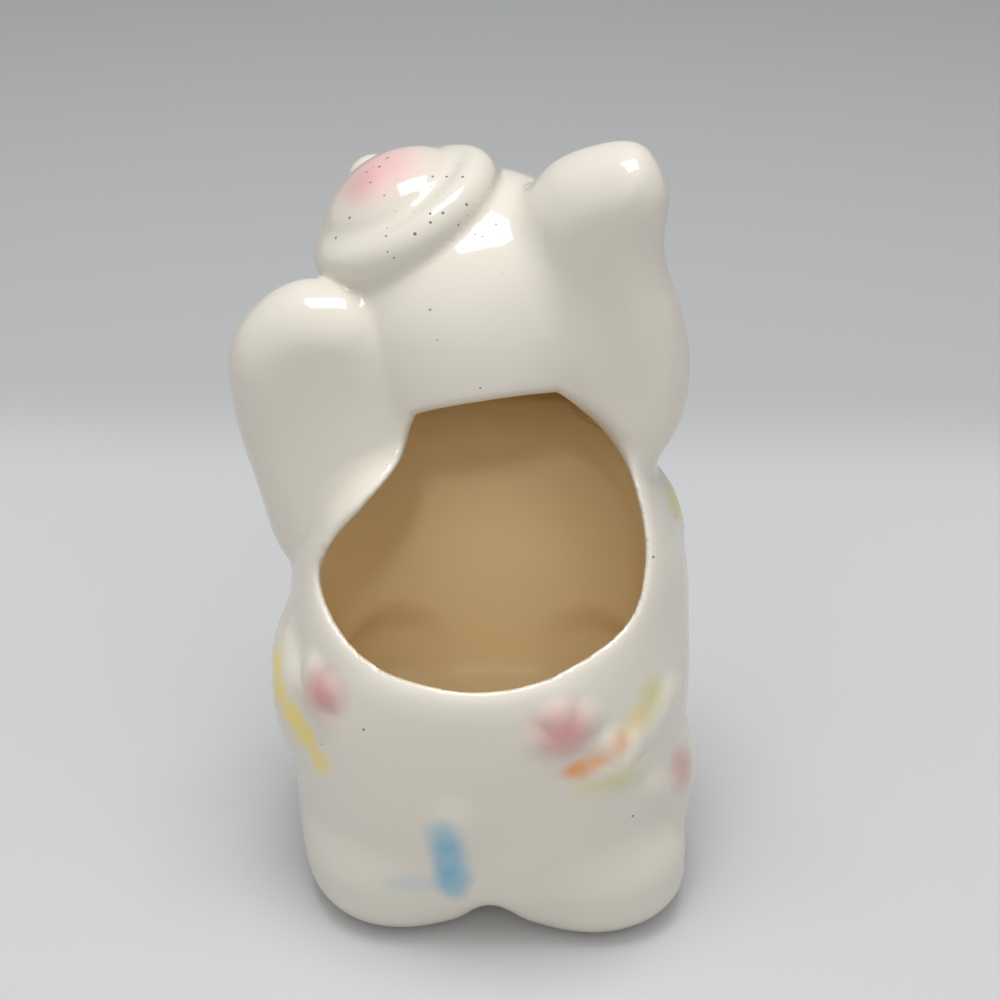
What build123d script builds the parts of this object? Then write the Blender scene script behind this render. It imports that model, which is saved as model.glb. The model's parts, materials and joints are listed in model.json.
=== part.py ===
# Animal shaped planter: a slip-cast baby elephant whose open back holds the plant.
# Millimetres, +Z up. The face looks along -Y, so the planting mouth opens towards +Y.
# Every member is cast or rolled by itself and luted on with slip, as a potter builds it.
from build123d import *
import math
import os

# Clay shared by all pieces
WALL = 4.0                      # thickness of the cast wall
LUTE = 0.2                      # slip layer between two luted pieces
PROFILE_STEPS = 6               # spline steps from the widest ring to a pole
PROFILE_CROWDING = 1.6          # how much the steps crowd towards the widest ring

# Pot: an oval barrel, closed at the top inside the head
POT_HALF_WIDTH = 43.5
POT_HALF_DEPTH = 47.0
POT_FOOT_HEIGHT = 4.0           # table to the underside
POT_WAIST_HEIGHT = 46.0         # table to the widest ring
POT_DROP = POT_WAIST_HEIGHT - POT_FOOT_HEIGHT
POT_RISE = 58.0                 # widest ring to the closed top
POT_TOP_HEIGHT = POT_WAIST_HEIGHT + POT_RISE
POT_DROP_POWER = 7.0            # squareness of the belly
POT_RISE_POWER = 2.9            # squareness of the shoulders

# Planting mouth, cut through the back
MOUTH_BACK = 22.0               # pot axis to the mouth's centre
MOUTH_LIFT = 42.0               # widest ring of the pot up to the mouth's centre
MOUTH_TILT = 29.4               # degrees, how far the mouth looks up
MOUTH_HALF_WIDTH = 33.0
MOUTH_HALF_HEIGHT = 29.5
MOUTH_DEPTH = 30.0              # cutter, inwards of the mouth's plane
MOUTH_REACH = 40.0              # cutter, outwards of the mouth's plane
LIP_BEVEL_OUT = 6.5             # mouth's plane to the broad bevel of its lower lip
MOUTH_SHARES = [                # seen from behind, right and up
    (0.00, -0.94), (0.44, -0.81), (0.85, -0.50), (0.96, -0.03), (0.90, 0.42),
    (0.73, 0.75), (0.47, 0.98), (0.32, 1.00), (-0.36, 0.87), (-0.47, 0.79),
    (-0.64, 0.49), (-0.94, -0.02), (-1.01, -0.34), (-0.82, -0.67), (-0.42, -0.86),
]

# Head, tipped towards the animal's left
HEAD_SIDE = 4.0                 # pot axis to the head's centre
HEAD_FORWARD = 18.0
HEAD_LIFT = 14.5                # closed top of the pot up to the head's centre
HEAD_HEIGHT = POT_TOP_HEIGHT + HEAD_LIFT
HEAD_ROLL = 20.0                # degrees
HEAD_RADIUS = 32.0
LIP_HALF_WIDTH = 10.0           # lower lip, under the trunk
LIP_HALF_DEPTH = 8.0
LIP_HALF_HEIGHT = 5.0
LIP_FORWARD = 23.0              # head's centre to the lip's centre
LIP_DROP = 23.0

# Ears: thick pillows, broad at the top
EAR_THICKNESS = 22.0
EAR_PILLOW_SHARES = [           # place through the thickness, size of the outline there
    (-1.0, 0.45), (-0.8, 0.78), (-0.45, 0.95), (0.0, 1.0), (0.45, 0.95), (0.8, 0.78), (1.0, 0.45),
]
LEFT_EAR_ROOT = 10.0            # pot axis to the edge buried in the head
LEFT_EAR_DROP = 47.5            # head's centre down to the lower tip
LEFT_EAR_BREADTH = 44.0
LEFT_EAR_LENGTH = 63.0
LEFT_EAR_FORWARD = 1.0          # pot axis to the ear's middle plane
LEFT_EAR_SHARES = [             # outwards and up from the root's lower corner
    (0.59, 0.99), (0.83, 0.92), (0.99, 0.76), (0.98, 0.52), (0.91, 0.27), (0.80, 0.01),
    (0.65, 0.00), (0.32, 0.29), (0.00, 0.52), (0.00, 0.87), (0.27, 1.00),
]
RIGHT_EAR_ROOT = 5.0
RIGHT_EAR_DROP = 26.0
RIGHT_EAR_BREADTH = 36.5
RIGHT_EAR_LENGTH = 69.0
RIGHT_EAR_FORWARD = 3.0
RIGHT_EAR_SHARES = [
    (0.44, 0.99), (0.68, 1.00), (0.82, 0.89), (0.82, 0.72), (0.93, 0.51), (0.99, 0.31),
    (0.92, 0.12), (0.68, 0.00), (0.25, 0.20), (0.00, 0.43), (0.00, 0.75), (0.16, 0.91),
]

# Trunk: springs from the face, swings out and lifts beside the hat
TRUNK_SWAY = 15.0               # head's centre line to the tip, to the left
TRUNK_REACH = 45.0              # head's centre to the foremost bend
TRUNK_LIFT = 25.5               # head's centre up to the tip
TRUNK_BASE_RADIUS = 13.0
TRUNK_TIP_RADIUS = 6.0
TRUNK_KNOB_RADIUS = 6.8         # rounded lip at the tip
TRUNK_SWAY_SHARES = [0.00, 0.02, 0.25, 0.60, 1.00]
TRUNK_REACH_SHARES = [0.55, 0.89, 1.00, 0.87, 0.62]
TRUNK_LIFT_SHARES = [-0.31, -0.42, 0.02, 0.50, 1.00]
TRUNK_TAPER_SHARES = [0.00, 0.30, 0.68, 0.85, 1.00]

# Hat: a rolled brim and a domed crown, perched on the left of the head
HAT_SIDE_TILT = 10.7            # degrees, in the head's own frame
HAT_BACK_TILT = 2.3             # degrees
BRIM_RING_RADIUS = 16.5
BRIM_ROLL_RADIUS = 4.8
CROWN_RADIUS = 15.5
CROWN_HEIGHT = 11.8

# Legs: hollow round cups under the pot, domed where they run up into it
LEG_SOLE_ROUND = 8.0            # rounding from the flat sole to the side
SOLE_GRIND = 0.5                # taken off flat under each sole
HIND_LEG_RADIUS = 0.483 * POT_HALF_WIDTH
HIND_LEG_SIDE = 0.490 * POT_HALF_WIDTH      # pot axis to a hind leg's axis
HIND_LEG_BACK = 0.575 * POT_HALF_WIDTH
HIND_LEG_SKEW = 2.0             # how far the cast sets both hind legs to the animal's right
HIND_LEG_WAIST = 12.0           # table to the start of the dome
HIND_LEG_TOP = HIND_LEG_WAIST + HIND_LEG_RADIUS
FRONT_LEG_RADIUS = 0.425 * POT_HALF_WIDTH
FRONT_LEG_SIDE = 0.506 * POT_HALF_WIDTH
FRONT_LEG_FORWARD = 0.598 * POT_HALF_WIDTH
FRONT_LEG_WAIST = 17.0

# Tail: a short cord and a tuft lying on the rump
TAIL_BEARING = -7.5             # degrees from the rear, positive to the animal's right
TAIL_HEIGHT = 29.0              # table to the middle of the cord
TAIL_HALF_LENGTH = 8.5
TAIL_HALF_WIDTH = 2.4
TAIL_RELIEF = 2.4
TUFT_HALF_LENGTH = 4.6
TUFT_HALF_WIDTH = 3.6
TUFT_RELIEF = 3.2
TUFT_DROP = 5.5                 # middle of the cord to the middle of the tuft

# Flower sprigs on the flanks
PETALS = 5
PETAL_RING_RADIUS = 3.7
PETAL_HALF_LENGTH = 3.6
PETAL_HALF_WIDTH = 3.0
PETAL_RELIEF = 2.6
CENTRE_RADIUS = 2.3
CENTRE_RELIEF = 3.4
LEAF_HALF_LENGTH = 5.5
LEAF_HALF_WIDTH = 2.6
LEAF_RELIEF = 2.0
BLOSSOM_PLACES = {              # bearing in degrees, height share from the hind legs' top to the pot's
    "right_rear_blossom": (22.0, 0.31),
    "right_middle_blossom": (36.0, 0.17),
    "right_front_blossom": (74.0, 0.015),
    "left_rear_blossom": (-50.0, 0.30),
    "left_middle_blossom": (-75.0, 0.365),
    "left_front_blossom": (-100.0, 0.18),
}
LEAF_PLACES = {                 # bearing, height share and turn in degrees for each leaf
    "right_leaves": [(54.0, 0.25, 40.0), (50.0, 0.0, -35.0), (93.0, 0.695, 80.0)],
    "left_leaves": [(-60.0, 0.09, 55.0), (-86.0, 0.13, 70.0), (-112.0, 0.375, 35.0)],
}


def ellipsoid(half_width, half_depth, half_height):
    """Solid ellipsoid on the origin."""
    return scale(Sphere(1), by=(half_width, half_depth, half_height))


def drawn_oval(shape):
    """A round turning, drawn out along Y to the pot's oval."""
    return scale(shape, by=(1, POT_HALF_DEPTH / POT_HALF_WIDTH, 1))


def round_pot(inset):
    """The pot as it leaves the wheel: a superellipse profile turned on Z, drawn in by inset."""
    points = []
    for step in range(1 - PROFILE_STEPS, PROFILE_STEPS):
        angle = math.pi / 2 * (abs(step) / PROFILE_STEPS) ** PROFILE_CROWDING
        reach, power = (POT_DROP, POT_DROP_POWER) if step < 0 else (POT_RISE, POT_RISE_POWER)
        radius = (POT_HALF_WIDTH - inset) * math.cos(angle) ** (2 / power)
        height = math.copysign(math.sin(angle) ** (2 / power), step) * (reach - inset)
        points.append((radius, 0, POT_WAIST_HEIGHT + height))
    foot = (0, 0, POT_FOOT_HEIGHT + inset)
    top = (0, 0, POT_TOP_HEIGHT - inset)
    wall = Spline(foot, *points, top, tangents=[(1, 0, 0), (-1, 0, 0)])
    return revolve(make_face([wall, Line(top, foot)]), Axis.Z)


def head_place():
    return Pos(HEAD_SIDE, -HEAD_FORWARD, HEAD_HEIGHT) * Rot(0, HEAD_ROLL, 0)


def head_form(inset):
    """Round of the head, drawn in by inset."""
    return head_place() * Sphere(HEAD_RADIUS - inset)


def lip_form():
    lip = ellipsoid(LIP_HALF_WIDTH, LIP_HALF_DEPTH, LIP_HALF_HEIGHT)
    return head_place() * Pos(0, -LIP_FORWARD, -LIP_DROP) * lip


def rear_outline(plane, shares, width, height):
    """Closed smooth outline on a plane, from shares of its width and height."""
    points = [(right * width, up * height) for right, up in shares]
    return plane * make_face(Spline(*points, periodic=True))


def mouth_plane():
    """Plane of the mouth: Z out of the pot, Y up, X to the right seen from behind."""
    tilt = math.radians(MOUTH_TILT)
    centre = (0, MOUTH_BACK, POT_WAIST_HEIGHT + MOUTH_LIFT)
    return Plane(centre, x_dir=(-1, 0, 0), z_dir=(0, math.cos(tilt), math.sin(tilt)))


def mouth_cutter():
    face = rear_outline(mouth_plane().offset(-MOUTH_DEPTH), MOUTH_SHARES, MOUTH_HALF_WIDTH, MOUTH_HALF_HEIGHT)
    return extrude(face, amount=MOUTH_DEPTH + MOUTH_REACH)


def lip_bevel():
    """Flat cutter that takes the outer corner off the lower lip."""
    block = Box(
        2 * MOUTH_HALF_WIDTH, 2 * MOUTH_HALF_HEIGHT, MOUTH_REACH, align=(Align.CENTER, Align.MAX, Align.MIN)
    )
    return mouth_plane().offset(LIP_BEVEL_OUT) * block


def ear_form(side, root, drop, forward, breadth, length, shares):
    """Pillow lofted through the ear's outline; side is 1 for the animal's left."""
    middle = Vector(sum(out for out, up in shares), sum(up for out, up in shares)) / len(shares)
    plane = Plane((side * root, -forward, HEAD_HEIGHT - drop), x_dir=(-1, 0, 0), z_dir=(0, 1, 0))
    sections = []
    for depth_share, size_share in EAR_PILLOW_SHARES:
        drawn_in = [middle + (Vector(*share) - middle) * size_share for share in shares]
        section = plane.offset(depth_share * EAR_THICKNESS / 2)
        sections.append(rear_outline(section, [(p.X, p.Y) for p in drawn_in], -side * breadth, length))
    return loft(sections)


def trunk_form(grow):
    """Round sections swept along the trunk's line, with a ball at the tip."""
    places = zip(TRUNK_SWAY_SHARES, TRUNK_REACH_SHARES, TRUNK_LIFT_SHARES)
    line = Spline(*[(x * TRUNK_SWAY, -y * TRUNK_REACH, z * TRUNK_LIFT) for x, y, z in places])
    sections = []
    for index, taper in enumerate(TRUNK_TAPER_SHARES):
        share = index / (len(TRUNK_TAPER_SHARES) - 1)
        radius = TRUNK_BASE_RADIUS + taper * (TRUNK_TIP_RADIUS - TRUNK_BASE_RADIUS) + grow
        sections.append(Plane(line @ share, z_dir=line % share) * Circle(radius))
    tip = Pos(*(line @ 1)) * Sphere(TRUNK_KNOB_RADIUS + grow)
    return head_place() * (sweep(sections, path=line, multisection=True) + tip)


def hat_place():
    """Seat of the brim: the ring where it lies on the round of the head."""
    seat = math.sqrt(HEAD_RADIUS ** 2 - BRIM_RING_RADIUS ** 2)
    return head_place() * Rot(0, HAT_SIDE_TILT, 0) * Rot(-HAT_BACK_TILT, 0, 0) * Pos(0, 0, seat)


def brim_form(grow):
    return hat_place() * Torus(BRIM_RING_RADIUS, BRIM_ROLL_RADIUS + grow)


def crown_form(grow):
    return hat_place() * ellipsoid(CROWN_RADIUS + grow, CROWN_RADIUS + grow, CROWN_HEIGHT + grow)


def leg_form(radius, waist, inset):
    """Flat sole, rounded edge, short side and domed top, drawn in by inset on every side."""
    round_radius = LEG_SOLE_ROUND - inset
    foot = inset - SOLE_GRIND
    sole = Line((0, foot), (radius - LEG_SOLE_ROUND, foot))
    edge = JernArc(sole @ 1, (1, 0), round_radius, 90)
    side = Line(edge @ 1, (radius - inset, waist))
    dome = JernArc(side @ 1, (0, 1), radius - inset, 90)
    axis = Line(dome @ 1, sole @ 0)
    return revolve(Plane.XZ * make_face([sole, edge, side, dome, axis]), Axis.Z)


def ground_flat(leg):
    """A fired leg, ground off level with the table."""
    return split(leg, Plane.XY, keep=Keep.TOP)


def sprig_height(share):
    return HIND_LEG_TOP + share * (POT_TOP_HEIGHT - HIND_LEG_TOP)


def pot_seat(bearing, height):
    """Plane on the pot's outside: Z outwards, X level, at a bearing from the rear."""
    rise = height - POT_WAIST_HEIGHT
    reach, power = (POT_RISE, POT_RISE_POWER) if rise > 0 else (POT_DROP, POT_DROP_POWER)
    climb = abs(rise) / reach
    girth = (1 - climb ** power) ** (1 / power)
    turn = math.radians(bearing)
    across, back = -math.sin(turn), math.cos(turn)
    lean = math.copysign(climb ** (power - 1) / reach, rise)
    out = girth ** (power - 1)
    normal = (across * out / POT_HALF_WIDTH, back * out / POT_HALF_DEPTH, lean)
    point = (across * girth * POT_HALF_WIDTH, back * girth * POT_HALF_DEPTH, height)
    return Plane(point, x_dir=(-back, across, 0), z_dir=normal)


def sprigged(relief):
    """The upper part of a small relief, pressed flat where it is luted on."""
    return split(relief, Plane.XY.offset(LUTE), keep=Keep.TOP)


def blossom_petals():
    petal = ellipsoid(PETAL_HALF_LENGTH, PETAL_HALF_WIDTH, PETAL_RELIEF)
    petal = Pos(PETAL_RING_RADIUS, 0, 0) * sprigged(petal)
    ring = [Rot(0, 0, 360 / PETALS * index) * petal for index in range(PETALS)]
    return ring[0] + ring[1:] - Cylinder(CENTRE_RADIUS + LUTE, PETAL_RELIEF + CENTRE_RELIEF)


def blossom_centre():
    return sprigged(ellipsoid(CENTRE_RADIUS, CENTRE_RADIUS, CENTRE_RELIEF))


def leaf_form(turn):
    return Rot(0, 0, turn) * sprigged(ellipsoid(LEAF_HALF_LENGTH, LEAF_HALF_WIDTH, LEAF_RELIEF))


def tail_form():
    cord = sprigged(ellipsoid(TAIL_HALF_WIDTH, TAIL_HALF_LENGTH, TAIL_RELIEF))
    tuft = sprigged(ellipsoid(TUFT_HALF_WIDTH, TUFT_HALF_LENGTH, TUFT_RELIEF))
    return pot_seat(TAIL_BEARING, TAIL_HEIGHT) * (cord + Pos(0, -TUFT_DROP, 0) * tuft)


def build_pot_and_legs():
    """Pot shell and four leg cups, joined while round so that the leg hollows open into the pot."""
    shell = round_pot(0) - round_pot(WALL)
    nodes = {}
    for name, radius, waist, side, back in (
        ("left_hind_leg", HIND_LEG_RADIUS, HIND_LEG_WAIST, HIND_LEG_SIDE - HIND_LEG_SKEW, HIND_LEG_BACK),
        ("right_hind_leg", HIND_LEG_RADIUS, HIND_LEG_WAIST, -HIND_LEG_SIDE - HIND_LEG_SKEW, HIND_LEG_BACK),
        ("left_front_leg", FRONT_LEG_RADIUS, FRONT_LEG_WAIST, FRONT_LEG_SIDE, -FRONT_LEG_FORWARD),
        ("right_front_leg", FRONT_LEG_RADIUS, FRONT_LEG_WAIST, -FRONT_LEG_SIDE, -FRONT_LEG_FORWARD),
    ):
        place = Pos(side, back, 0)
        hollow = place * leg_form(radius, waist, WALL)
        leg = place * leg_form(radius, waist, 0) - hollow - round_pot(-LUTE)
        shell = shell - hollow
        nodes[name] = ground_flat(drawn_oval(leg))
    nodes["pot_body"] = drawn_oval(shell)
    return nodes


def build_flowers():
    petals = blossom_petals()
    centre = blossom_centre()
    flowers = {}
    for name, (bearing, height_share) in BLOSSOM_PLACES.items():
        seat = pot_seat(bearing, sprig_height(height_share))
        flowers[name] = seat * petals
        flowers[name + "_centre"] = seat * centre
    for name, places in LEAF_PLACES.items():
        leaves = []
        for bearing, height_share, turn in places:
            leaves.append(pot_seat(bearing, sprig_height(height_share)) * leaf_form(turn))
        flowers[name] = Compound(children=leaves)
    return flowers


def build_planter():
    pot_clear = drawn_oval(round_pot(-LUTE))
    head_clear = head_form(-LUTE)
    head_hollow = head_form(WALL)
    mouth = mouth_cutter()
    nodes = build_pot_and_legs()
    nodes["pot_body"] = nodes["pot_body"] - head_hollow - mouth - lip_bevel()
    nodes["head"] = head_form(0) - mouth - head_hollow - pot_clear
    left_ear = ear_form(
        1, LEFT_EAR_ROOT, LEFT_EAR_DROP, LEFT_EAR_FORWARD, LEFT_EAR_BREADTH, LEFT_EAR_LENGTH, LEFT_EAR_SHARES
    )
    right_ear = ear_form(
        -1,
        RIGHT_EAR_ROOT,
        RIGHT_EAR_DROP,
        RIGHT_EAR_FORWARD,
        RIGHT_EAR_BREADTH,
        RIGHT_EAR_LENGTH,
        RIGHT_EAR_SHARES,
    )
    hat_clear = crown_form(LUTE) + brim_form(LUTE)
    nodes["left_ear"] = left_ear - head_clear - pot_clear - mouth - hat_clear
    nodes["right_ear"] = right_ear - head_clear - pot_clear - mouth
    nodes["trunk"] = trunk_form(0) - head_clear
    nodes["lower_lip"] = lip_form() - head_clear - trunk_form(LUTE)
    nodes["hat_brim"] = brim_form(0) - head_clear
    nodes["hat_crown"] = crown_form(0) - brim_form(LUTE) - head_clear
    nodes["tail"] = tail_form()
    nodes.update(build_flowers())
    return nodes


def export_nodes(nodes):
    """Write each node with the origin under the middle of the whole planter."""
    boxes = [shape.bounding_box() for shape in nodes.values()]
    middle_x = (min(box.min.X for box in boxes) + max(box.max.X for box in boxes)) / 2
    middle_y = (min(box.min.Y for box in boxes) + max(box.max.Y for box in boxes)) / 2
    os.makedirs("parts", exist_ok=True)
    for name, shape in nodes.items():
        export_step(Pos(-middle_x, -middle_y, 0) * shape, f"parts/{name}.step")


export_nodes(build_planter())
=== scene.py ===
# %% [markdown]
# # A slip-cast animal planter
# The planter is a stubby baby elephant in white earthenware. Its back is cut open for a plant, a small
# hat sits on its tipped head and a few sprigged flowers are brushed with soft colour. On the real one
# every member is luted on with slip, then one glossy glaze runs over all of them and rounds every seam.
# A surface that flows from part to part like that is hard to model face by face. So each member is
# written here as a distance field, the fields are joined with soft fillets, and one skin is laid on the
# result. The skin is then parted again into the members, so every piece keeps its own name.

import json
import math

import bpy
import numpy as np
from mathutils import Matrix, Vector


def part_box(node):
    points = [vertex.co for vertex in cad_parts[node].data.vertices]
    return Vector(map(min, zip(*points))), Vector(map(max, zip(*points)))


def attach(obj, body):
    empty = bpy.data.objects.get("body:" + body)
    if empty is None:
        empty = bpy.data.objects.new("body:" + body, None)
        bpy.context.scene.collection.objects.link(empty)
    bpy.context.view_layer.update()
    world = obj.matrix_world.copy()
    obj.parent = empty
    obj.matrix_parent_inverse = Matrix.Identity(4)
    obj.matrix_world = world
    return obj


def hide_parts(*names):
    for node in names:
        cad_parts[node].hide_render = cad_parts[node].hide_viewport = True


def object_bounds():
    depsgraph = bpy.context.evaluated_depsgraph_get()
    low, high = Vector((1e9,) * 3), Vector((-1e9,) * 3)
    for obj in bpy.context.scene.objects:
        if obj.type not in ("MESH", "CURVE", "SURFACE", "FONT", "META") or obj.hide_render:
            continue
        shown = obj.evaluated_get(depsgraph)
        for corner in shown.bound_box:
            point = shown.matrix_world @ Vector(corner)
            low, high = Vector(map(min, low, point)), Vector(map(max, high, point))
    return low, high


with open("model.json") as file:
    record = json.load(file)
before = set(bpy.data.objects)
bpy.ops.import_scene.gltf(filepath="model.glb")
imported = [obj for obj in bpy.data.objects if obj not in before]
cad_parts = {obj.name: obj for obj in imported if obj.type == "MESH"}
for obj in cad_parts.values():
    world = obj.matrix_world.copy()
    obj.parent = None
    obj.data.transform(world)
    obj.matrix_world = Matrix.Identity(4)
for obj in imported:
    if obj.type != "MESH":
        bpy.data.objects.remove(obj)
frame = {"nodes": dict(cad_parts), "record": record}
cad_low, cad_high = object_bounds()
MM = 0.001
print("nodes in the frame:", len(frame["nodes"]))

# %% [markdown]
# ## The measuring frame
# The maker thinks in millimetres from the axis of the pot, so the script does too. The axis and the
# sizes of the turned members are read from the frame, and only shapes that a box can't tell are
# written as values.

# %% Pot axis and boxes in millimetres
pot_low, pot_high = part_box("pot_body")
AXIS = np.array([(pot_low.x + pot_high.x) / 2, (pot_low.y + pot_high.y) / 2, 0.0])


def node_box(node):
    """Lowest and highest corner of a node, in millimetres from the pot's axis."""
    low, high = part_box(node)
    return (np.array(low) - AXIS) / MM, (np.array(high) - AXIS) / MM


def to_frame(points):
    """Millimetres from the pot's axis, as metres in the frame."""
    return points * MM + AXIS


pot_box = node_box("pot_body")
head_box = node_box("head")
GLAZE_SWELL = 1.012
POT_HALF_WIDTH = pot_box[1][0] * GLAZE_SWELL
POT_HALF_DEPTH = pot_box[1][1]
print("pot half width and depth, mm:", round(POT_HALF_WIDTH, 1), round(POT_HALF_DEPTH, 1))

# %% [markdown]
# ## Distance fields
# A distance field gives, for any point, how far it is from a surface, negative inside. Two fields are
# joined by taking the smaller one. A soft minimum also fills the corner between them, which is just
# what a thick glaze does.

# %% Joining and cutting fields
FAR_OFF = 1e3
TINY = 1e-9
SAMPLE_FILLET = 4.0


def soft_join(a, b, width):
    """Union of two fields with a fillet about as wide as width."""
    near = np.maximum(width - np.abs(a - b), 0) / width
    return np.minimum(a, b) - near * near * width / 4


def soft_cut(a, b, width):
    """Field a without field b, with the edge rounded over width."""
    return -soft_join(-a, b, width)


def ellipsoid(p, radii):
    scaled = p / radii
    length = np.linalg.norm(scaled, axis=1)
    steepness = np.linalg.norm(scaled / radii, axis=1)
    return length * (length - 1) / np.maximum(steepness, TINY)


def edge_distance(a, b):
    """Distance to the edge between two faces, from the distance to each face."""
    return np.hypot(np.maximum(a, 0), np.maximum(b, 0)) + np.minimum(np.maximum(a, b), 0)


def turn_y(degrees):
    """Turn about Y: the columns are the turned axes."""
    c, s = math.cos(math.radians(degrees)), math.sin(math.radians(degrees))
    return np.array([[c, 0, s], [0, 1, 0], [-s, 0, c]])


def turn_x(degrees):
    c, s = math.cos(math.radians(degrees)), math.sin(math.radians(degrees))
    return np.array([[1, 0, 0], [0, c, -s], [0, s, c]])


def within(p, centre, reach, field):
    """A small member's field, worked out only near it; further off the distance to its ball will do."""
    offset = p - centre
    value = np.linalg.norm(offset, axis=1) - reach
    near = value < reach
    if near.any():
        value[near] = field(offset[near])
    return value


print("share of a fillet that an even corner fills:", -soft_join(0.0, 0.0, SAMPLE_FILLET) / SAMPLE_FILLET)

# %% [markdown]
# ## Pot and legs
# The pot is an oval barrel: a superellipse turned on its axis, squarer at the belly than at the
# shoulders, and squarer in plan too where the legs fill its corners. Each leg is a short column with a
# flat sole and a domed top that runs up into the belly.

# %% Pot and leg fields
WALL = 4.0
POT_FOOT = 3.0
POT_WAIST = 46.0
POT_TOP = 104.0
BELLY_POWER = 12.0
SHOULDER_POWER = 2.9
PLAN_ROUND, PLAN_SQUARE = 2.0, 2.8
PLAN_SQUARE_BELOW, PLAN_ROUND_ABOVE = 30.0, 72.0
LEG_PLACES = {
    "left_hind_leg": (18.5, 27.0), "right_hind_leg": (-23.2, 27.0),
    "left_front_leg": (22.0, -28.1), "right_front_leg": (-22.0, -28.1),
}
LEG_SIZES = {
    "left_hind_leg": (20.1, 19.9, 12.0, 17.0), "right_hind_leg": (21.2, 19.9, 12.0, 17.0),
    "left_front_leg": (18.5, 20.0, 17.0, 18.5), "right_front_leg": (18.5, 20.0, 17.0, 18.5),
}
LEG_POWER = 2.05
LEG_SOLE_ROUND = 8.0
CROTCH_CENTRE = np.array([-1.8, 54.0, -5.5])
CROTCH_RADII = np.array([7.5, 24.0, 15.5])
CROTCH_EDGE = 5.0
LEAST_SIZE = 1e-6


def pot_reach(rise):
    """Reach and squareness of the pot's wall above or below its widest ring."""
    below = rise < 0
    reach = np.where(below, POT_WAIST - POT_FOOT, POT_TOP - POT_WAIST)
    return reach, np.where(below, BELLY_POWER, SHOULDER_POWER)


def plan_power(height):
    """Squareness of the pot's plan: round at the shoulders, squarer down by the legs."""
    share = np.clip((PLAN_ROUND_ABOVE - height) / (PLAN_ROUND_ABOVE - PLAN_SQUARE_BELOW), 0, 1)
    return PLAN_ROUND + (PLAN_SQUARE - PLAN_ROUND) * share * share * (3 - 2 * share)


def pot_field(p):
    rise = p[:, 2] - POT_WAIST
    reach, power = pot_reach(rise)
    plan = plan_power(p[:, 2])
    across, back = np.abs(p[:, 0]) / POT_HALF_WIDTH, np.abs(p[:, 1]) / POT_HALF_DEPTH
    girth = np.maximum((across ** plan + back ** plan) ** (1 / plan), LEAST_SIZE)
    climb = np.abs(rise) / reach
    size = np.maximum((girth ** power + climb ** power) ** (1 / power), LEAST_SIZE)
    out = (girth / size) ** (power - 1)
    slope = np.sqrt(
        (out * (across / girth) ** (plan - 1) / POT_HALF_WIDTH) ** 2
        + (out * (back / girth) ** (plan - 1) / POT_HALF_DEPTH) ** 2
        + ((climb / size) ** (power - 1) / reach) ** 2
    )
    return (size - 1) / np.maximum(slope, LEAST_SIZE)


def belly_field(p):
    """The pot with a hollow under its rear, where the hind legs part."""
    return soft_cut(pot_field(p), ellipsoid(p - CROTCH_CENTRE, CROTCH_RADII), CROTCH_EDGE)


def leg_field(p, name):
    """Column with a flat sole, a rounded edge and a domed top; the plan is a squarish oval."""
    side, back = LEG_PLACES[name]
    half_width, half_depth, waist, dome_height = LEG_SIZES[name]
    x, y = np.abs(p[:, 0] - side) / half_width, np.abs(p[:, 1] - back) / half_depth
    across = half_width * (x ** LEG_POWER + y ** LEG_POWER) ** (1 / LEG_POWER)
    above = (p[:, 2] - waist) * half_width / dome_height
    dome = np.hypot(across, above) - half_width
    wall = across - (half_width - LEG_SOLE_ROUND)
    under = LEG_SOLE_ROUND - p[:, 2]
    column = edge_distance(wall, under)
    return np.where(p[:, 2] > waist, dome, column - LEG_SOLE_ROUND)


print("pot height and legs:", POT_TOP - POT_FOOT, list(LEG_PLACES))

# %% [markdown]
# ## Head, trunk and lip
# The head is a ball tipped towards the animal's left. The trunk is a string of balls along a smooth
# line, so it tapers and curls; its tip is the white nub behind the hat.

# %% Head fields
HEAD_ROLL = 20.0
HEAD_RADIUS = (head_box[1][0] - head_box[0][0]) / 2
HEAD_CENTRE = np.array([(head_box[0][0] + head_box[1][0]) / 2, (head_box[0][1] + head_box[1][1]) / 2, 0])
HEAD_CENTRE[2] = head_box[1][2] - HEAD_RADIUS
HEAD_AXES = turn_y(HEAD_ROLL)
TRUNK_SWAY, TRUNK_REACH, TRUNK_LIFT = 15.0, 45.0, 25.5
TRUNK_SWAY_SHARES = [0.00, 0.02, 0.25, 0.60, 1.00]
TRUNK_REACH_SHARES = [0.55, 0.89, 1.00, 0.87, 0.62]
TRUNK_LIFT_SHARES = [-0.31, -0.42, 0.02, 0.50, 1.00]
TRUNK_RADII = [13.0, 10.9, 8.2, 7.0, 6.4]
TRUNK_BALLS = 28
LIP_RADII = np.array([10.0, 8.0, 5.0])
LIP_PLACE = np.array([0.0, -23.0, -23.0])
LIP_REACH = 12.0


def on_head(place):
    """A place in the head's own tipped frame, in millimetres from the pot's axis."""
    return HEAD_CENTRE + HEAD_AXES @ np.asarray(place)


def head_field(p):
    return np.linalg.norm(p - HEAD_CENTRE, axis=1) - HEAD_RADIUS


def catmull_rom(a, b, c, d, t):
    """Point at share t from b to c, on a smooth line through all four points."""
    bend = 2 * a - 5 * b + 4 * c - d
    twist = 3 * b - a - 3 * c + d
    return 0.5 * (2 * b + (c - a) * t + bend * t ** 2 + twist * t ** 3)


def smooth_line(points, count):
    """Points spread along a Catmull-Rom line through the given ones."""
    points = np.array(points, float)
    ends = np.vstack([2 * points[0] - points[1], points, 2 * points[-1] - points[-2]])
    places = np.linspace(0, len(points) - 1 - TINY, count)
    index = places.astype(int)
    t = (places - index)[:, None]
    return catmull_rom(*(ends[index + k] for k in range(4)), t)


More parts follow.
